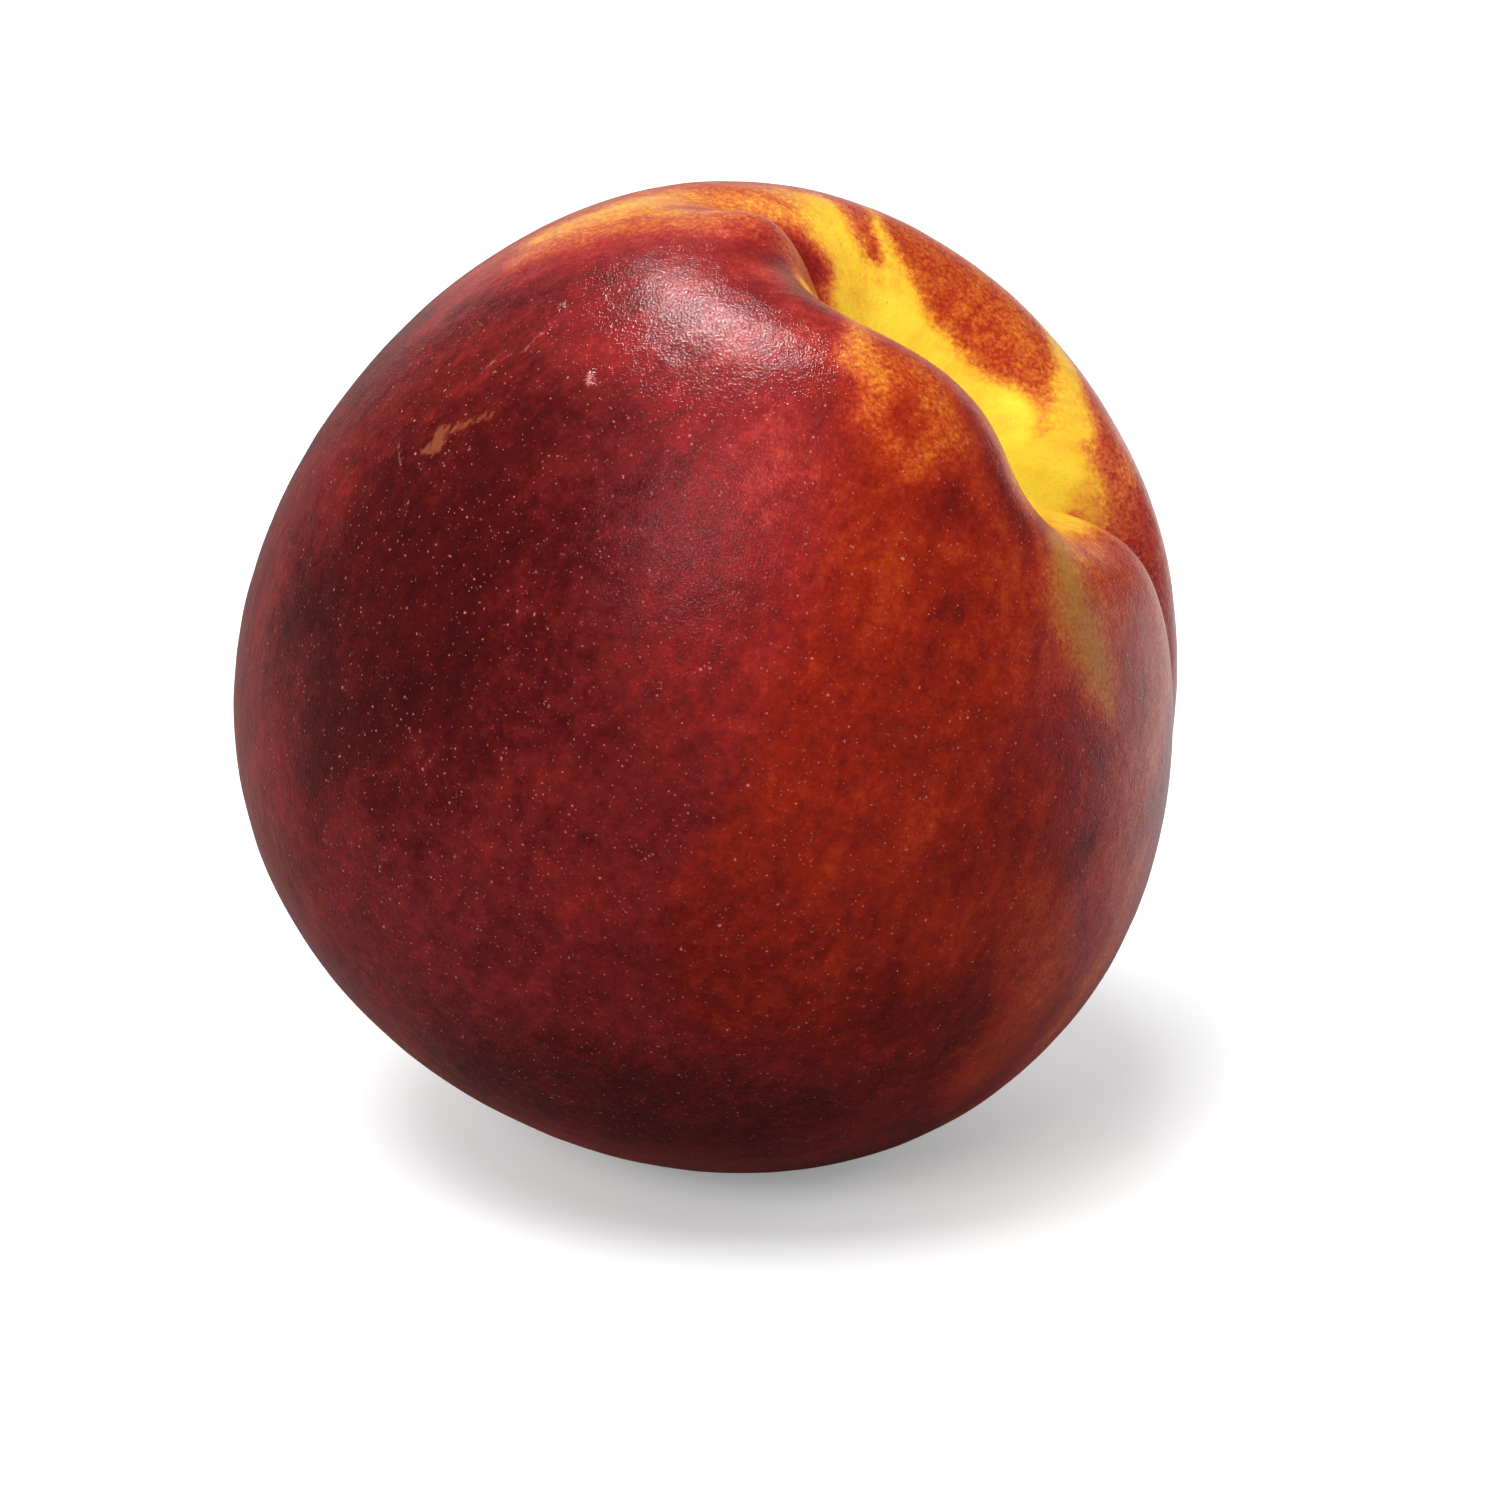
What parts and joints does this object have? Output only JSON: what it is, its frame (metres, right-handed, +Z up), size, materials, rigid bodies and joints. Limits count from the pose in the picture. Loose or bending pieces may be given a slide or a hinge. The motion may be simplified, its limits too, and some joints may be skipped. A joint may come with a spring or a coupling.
{
  "type": "nectarine",
  "caption": "Whole ripe nectarine lying on its cheek, with a deep stem cavity, a suture groove from stem to tip and a small flat spot it rests on.",
  "frame": {"origin": "centre of the bounding box, on the surface the fruit rests on", "axes": "+Z up; -Y is the front, the dark red cheek; +X is to the right of that view, the side the stem cavity and the suture are turned to"},
  "size_m": [0.0684, 0.072, 0.0716],
  "materials": {
    "skin": "waxy fruit skin, semi-gloss: maroon to crimson blush over yellow ground, with pale pores"
  },
  "bodies": {
    "root": {"nectarine": "skin"}
  },
  "joints": []
}
